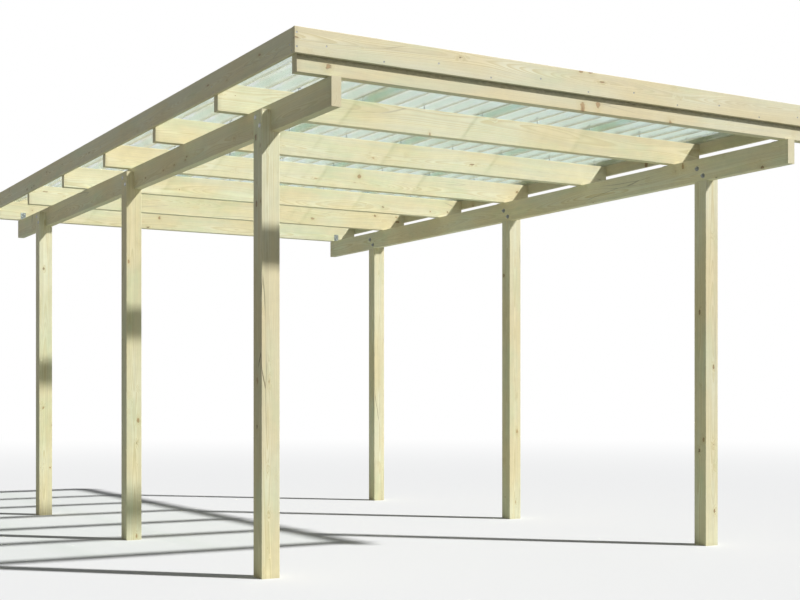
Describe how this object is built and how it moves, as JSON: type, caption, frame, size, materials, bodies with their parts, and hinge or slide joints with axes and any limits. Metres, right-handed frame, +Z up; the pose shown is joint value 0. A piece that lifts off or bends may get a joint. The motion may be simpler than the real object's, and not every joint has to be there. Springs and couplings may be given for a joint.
{
  "type": "timber carport",
  "caption": "Flat-roofed single-car timber carport: square posts, side beams, cross rafters, fascia boards and clear corrugated roof sheets.",
  "frame": {"origin": "on the ground, under the middle of the roof's outline", "axes": "+Z up, +Y from the front to the rear along the parking bay, +X to the right seen from the front"},
  "size_m": [3.32, 5.67, 2.57],
  "materials": {
    "post_timber": "planed pressure-treated softwood",
    "beam_timber": "planed pressure-treated softwood",
    "rafter_timber": "planed pressure-treated softwood",
    "fascia_board": "planed pressure-treated softwood",
    "galvanised_steel": "galvanised",
    "clear_sheet": "clear corrugated plastic"
  },
  "bodies": {
    "root": {"post_front_left": "post_timber", "post_front_right": "post_timber", "post_middle_left": "post_timber", "post_middle_right": "post_timber", "post_rear_left": "post_timber", "post_rear_right": "post_timber", "beam_left": "beam_timber", "beam_right": "beam_timber", "rafter_1": "rafter_timber", "rafter_2": "rafter_timber", "rafter_3": "rafter_timber", "rafter_4": "rafter_timber", "rafter_5": "rafter_timber", "rafter_6": "rafter_timber", "rafter_7": "rafter_timber", "fascia_front": "fascia_board", "fascia_rear": "fascia_board", "fascia_left": "fascia_board", "fascia_right": "fascia_board", "bracket_1_left": "galvanised_steel", "bracket_1_right": "galvanised_steel", "bracket_2_left": "galvanised_steel", "bracket_2_right": "galvanised_steel", "bracket_3_left": "galvanised_steel", "bracket_3_right": "galvanised_steel", "bracket_4_left": "galvanised_steel", "bracket_4_right": "galvanised_steel", "bracket_5_left": "galvanised_steel", "bracket_5_right": "galvanised_steel", "bracket_6_left": "galvanised_steel", "bracket_6_right": "galvanised_steel", "bracket_7_left": "galvanised_steel", "bracket_7_right": "galvanised_steel", "roof_sheet_1": "clear_sheet", "roof_sheet_2": "clear_sheet", "roof_sheet_3": "clear_sheet", "roof_sheet_4": "clear_sheet"}
  },
  "joints": []
}
